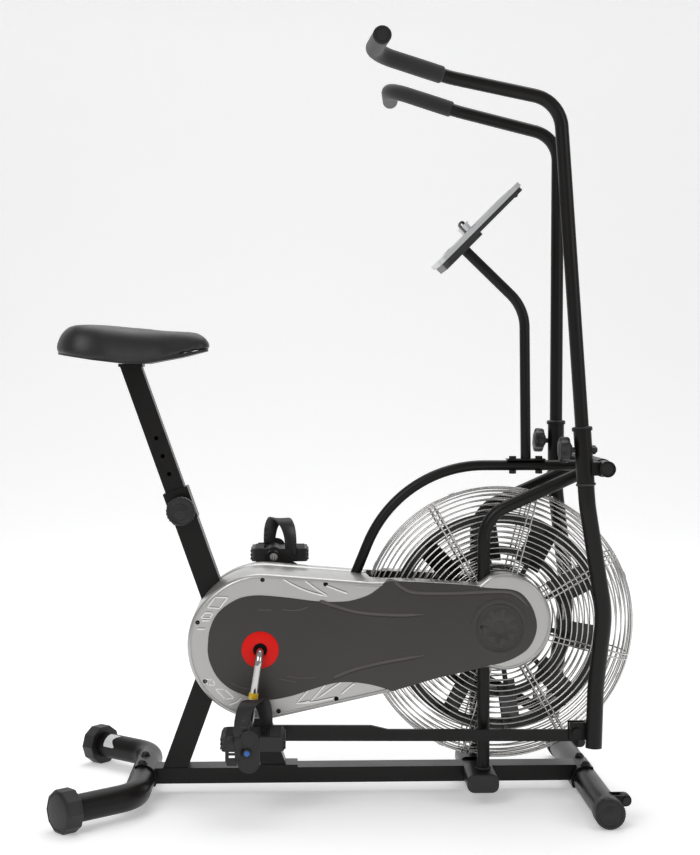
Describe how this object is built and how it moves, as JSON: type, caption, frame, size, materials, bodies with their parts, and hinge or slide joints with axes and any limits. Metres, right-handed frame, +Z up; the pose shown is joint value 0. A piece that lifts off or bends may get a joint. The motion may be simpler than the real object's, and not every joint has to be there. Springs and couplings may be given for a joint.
{
  "type": "air bike",
  "caption": "Upright exercise bike with a caged air fan, belt drive under a two-part casing, swinging arms, adjustable saddle and a small console.",
  "frame": {"origin": "on the floor, under the middle of the bike's bounding box", "axes": "+X forward towards the fan, +Y to the rider's left, +Z up"},
  "size_m": [1.1083, 0.6649, 1.4104],
  "materials": {
    "frame_black": "satin",
    "end_cap": "satin",
    "black_bolt": "satin",
    "chrome": "polished",
    "bearing_steel": "satin",
    "pulley_aluminium": "satin",
    "belt_rubber": "matte",
    "silver_plastic": "satin",
    "panel_plastic": "satin",
    "red_plastic": "gloss",
    "console_plastic": "satin",
    "screen_glass": "gloss",
    "grip_foam": "matte",
    "saddle_vinyl": "satin"
  },
  "bodies": {
    "frame": {"arc_tube": "frame_black", "case_screws": "black_bolt", "console_back": "console_plastic", "console_bezel": "silver_plastic", "console_mast": "frame_black", "console_screen": "screen_glass", "crank_bearings": "bearing_steel", "crank_hub_rings": "red_plastic", "drive_belt": "belt_rubber", "fan_bearings": "bearing_steel", "fan_plug_covers": "panel_plastic", "foot_bar": "frame_black", "foot_bar_caps": "end_cap", "frame_bolts": "black_bolt", "front_stabiliser": "frame_black", "front_stabiliser_caps": "end_cap", "left_cage": "chrome", "left_case_panel": "panel_plastic", "left_case_shell": "silver_plastic", "main_rail": "frame_black", "pivot_axle": "black_bolt", "pivot_tube": "frame_black", "rear_brace": "frame_black", "rear_stabiliser": "frame_black", "rear_stabiliser_caps": "end_cap", "right_cage": "chrome", "right_case_panel": "panel_plastic", "right_case_shell": "silver_plastic", "seat_sleeve": "end_cap", "seat_tube": "frame_black", "uprights": "frame_black"},
    "seat": {"seat_post": "frame_black", "saddle_pad": "saddle_vinyl", "saddle_base": "end_cap", "saddle_clamp": "frame_black"},
    "seat_knob": {"seat_pin": "end_cap"},
    "crank_set": {"crank": "chrome", "drive_pulley": "pulley_aluminium"},
    "fan": {"fan_wheel": "end_cap", "fan_shaft": "bearing_steel", "fan_pulley": "pulley_aluminium"},
    "right_pedal_body": {"right_pedal": "end_cap", "right_pedal_strap": "end_cap"},
    "right_swing": {"right_arm": "frame_black"},
    "right_handle": {"right_handlebar": "frame_black", "right_grip": "grip_foam"},
    "right_clamp": {"right_arm_knob": "end_cap"},
    "right_link_bar": {"right_link": "frame_black"},
    "right_roller": {"right_transport_wheel": "end_cap"},
    "left_pedal_body": {"left_pedal": "end_cap", "left_pedal_strap": "end_cap"},
    "left_swing": {"left_arm": "frame_black"},
    "left_handle": {"left_handlebar": "frame_black", "left_grip": "grip_foam"},
    "left_clamp": {"left_arm_knob": "end_cap"},
    "left_link_bar": {"left_link": "frame_black"},
    "left_roller": {"left_transport_wheel": "end_cap"},
    "mode_button": {"console_mode_button": "console_plastic"},
    "set_button": {"console_set_button": "console_plastic"},
    "reset_button": {"console_reset_button": "console_plastic"}
  },
  "joints": [
    {"name": "crank_spin", "type": "hinge", "parent": "frame", "child": "crank_set", "pos_m": [-0.17, 0, 0.2955], "axis": [0, 1, 0], "continuous": true},
    {"name": "fan_spin", "type": "hinge", "parent": "frame", "child": "fan", "pos_m": [0.2885, 0, 0.332], "axis": [0, 1, 0], "continuous": true},
    {"name": "right_pedal_spin", "type": "hinge", "parent": "crank_set", "child": "right_pedal_body", "pos_m": [-0.19253, -0.176, 0.14477], "axis": [0, 1, 0], "continuous": true},
    {"name": "left_pedal_spin", "type": "hinge", "parent": "crank_set", "child": "left_pedal_body", "pos_m": [-0.14747, 0.176, 0.44623], "axis": [0, 1, 0], "continuous": true},
    {"name": "right_arm_swing", "type": "hinge", "parent": "frame", "child": "right_swing", "pos_m": [0.4665, -0.1625, 0.6382], "axis": [0, 1, 0], "range_deg": [-18.58, 17.24]},
    {"name": "left_arm_swing", "type": "hinge", "parent": "frame", "child": "left_swing", "pos_m": [0.4665, 0.1625, 0.6382], "axis": [0, 1, 0], "range_deg": [-17.24, 18.58]},
    {"name": "right_link_pivot", "type": "hinge", "parent": "right_swing", "child": "right_link_bar", "pos_m": [0.4231, -0.1065, 0.1391], "axis": [0, 1, 0], "range_deg": [-17.24, 18.58]},
    {"name": "left_link_pivot", "type": "hinge", "parent": "left_swing", "child": "left_link_bar", "pos_m": [0.38851, 0.1065, 0.14332], "axis": [0, 1, 0], "range_deg": [-18.58, 17.24]},
    {"name": "right_handle_slide", "type": "slide", "parent": "right_swing", "child": "right_handle", "axis": [-0.0697, 0.0146, 0.9975], "range_m": [-0.024, 0.03]},
    {"name": "left_handle_slide", "type": "slide", "parent": "left_swing", "child": "left_handle", "axis": [-0.0002, -0.0146, 0.9999], "range_m": [0, 0.054]},
    {"name": "right_clamp_turn", "type": "hinge", "parent": "right_swing", "child": "right_clamp", "pos_m": [0.42617, -0.15935, 0.67283], "axis": [1, 0, 0], "range_deg": [0, 360]},
    {"name": "left_clamp_turn", "type": "hinge", "parent": "left_swing", "child": "left_clamp", "pos_m": [0.42867, 0.15935, 0.67555], "axis": [0.9976, 0, -0.0695], "range_deg": [0, 360]},
    {"name": "seat_height", "type": "slide", "parent": "frame", "child": "seat", "axis": [-0.3338, 0, 0.9426], "range_m": [-0.1456, 0.1092]},
    {"name": "seat_knob_pull", "type": "slide", "parent": "frame", "child": "seat_knob", "axis": [0, -1, 0], "range_m": [0, 0.008], "stiffness_N_per_m": 900},
    {"name": "right_roller_spin", "type": "hinge", "parent": "frame", "child": "right_roller", "pos_m": [0.492, -0.2245, 0.042], "axis": [0, 1, 0], "continuous": true},
    {"name": "left_roller_spin", "type": "hinge", "parent": "frame", "child": "left_roller", "pos_m": [0.492, 0.2245, 0.042], "axis": [0, 1, 0], "continuous": true},
    {"name": "mode_press", "type": "slide", "parent": "frame", "child": "mode_button", "axis": [0.7071, 0, -0.7071], "range_m": [0, 0.001], "stiffness_N_per_m": 400},
    {"name": "set_press", "type": "slide", "parent": "frame", "child": "set_button", "axis": [0.7071, 0, -0.7071], "range_m": [0, 0.001], "stiffness_N_per_m": 400},
    {"name": "reset_press", "type": "slide", "parent": "frame", "child": "reset_button", "axis": [0.7071, 0, -0.7071], "range_m": [0, 0.001], "stiffness_N_per_m": 400}
  ],
  "couplings": [
    {"joint": "fan_spin", "follows": "crank_spin", "ratio": 4.6},
    {"joint": "left_arm_swing", "follows": "right_arm_swing", "ratio": -1},
    {"joint": "right_link_pivot", "follows": "right_arm_swing", "ratio": -1},
    {"joint": "left_link_pivot", "follows": "right_arm_swing", "ratio": 1}
  ]
}
